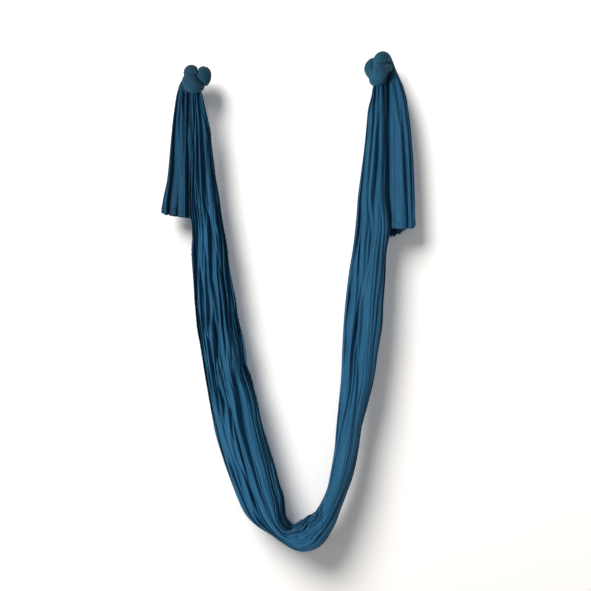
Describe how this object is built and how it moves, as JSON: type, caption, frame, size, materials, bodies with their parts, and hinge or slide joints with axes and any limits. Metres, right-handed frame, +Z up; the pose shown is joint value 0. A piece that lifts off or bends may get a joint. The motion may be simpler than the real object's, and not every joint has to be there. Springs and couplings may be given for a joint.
{
  "type": "aerial yoga hammock",
  "caption": "Gathered knitted cloth sling for aerial yoga, knotted at both ends, with hanging tails; it carries a seated, standing or inverted user from two overhead points.",
  "frame": {"origin": "the left throat: the middle of the neck of cloth just under the left knot, where the left rigging holds the hammock", "axes": "+X from the left throat to the right throat, +Z up, -Y towards a viewer who sees the left knot on the left"},
  "size_m": [0.9048, 0.1617, 1.7061],
  "materials": {
    "sling_cloth": "knitted nylon tricot, semi-matte with a soft sheen",
    "knot_cloth": "knitted nylon tricot, stretched tight in the knot",
    "tail_cloth": "knitted nylon tricot, semi-matte with a soft sheen",
    "hem_cloth": "knitted nylon tricot, turned and sewn"
  },
  "bodies": {
    "knots": {"left_knot": "knot_cloth", "right_knot": "knot_cloth"},
    "sling": {"left_limb": "sling_cloth", "seat": "sling_cloth", "right_limb": "sling_cloth"},
    "left_tail": {"left_tail": "tail_cloth", "left_tail_hem": "hem_cloth"},
    "right_tail": {"right_tail": "tail_cloth", "right_tail_hem": "hem_cloth"}
  },
  "joints": [
    {"name": "sling_swing", "type": "hinge", "parent": "knots", "child": "sling", "pos_m": [0.325, 0, 0], "axis": [1, 0, 0], "range_deg": [-45, 45]},
    {"name": "left_tail_swing", "type": "hinge", "parent": "knots", "child": "left_tail", "pos_m": [-0.055, 0.028, -0.002], "axis": [1, 0, 0], "range_deg": [-40, 40]},
    {"name": "right_tail_swing", "type": "hinge", "parent": "knots", "child": "right_tail", "pos_m": [0.698, 0.028, -0.002], "axis": [1, 0, 0], "range_deg": [-40, 40]}
  ]
}
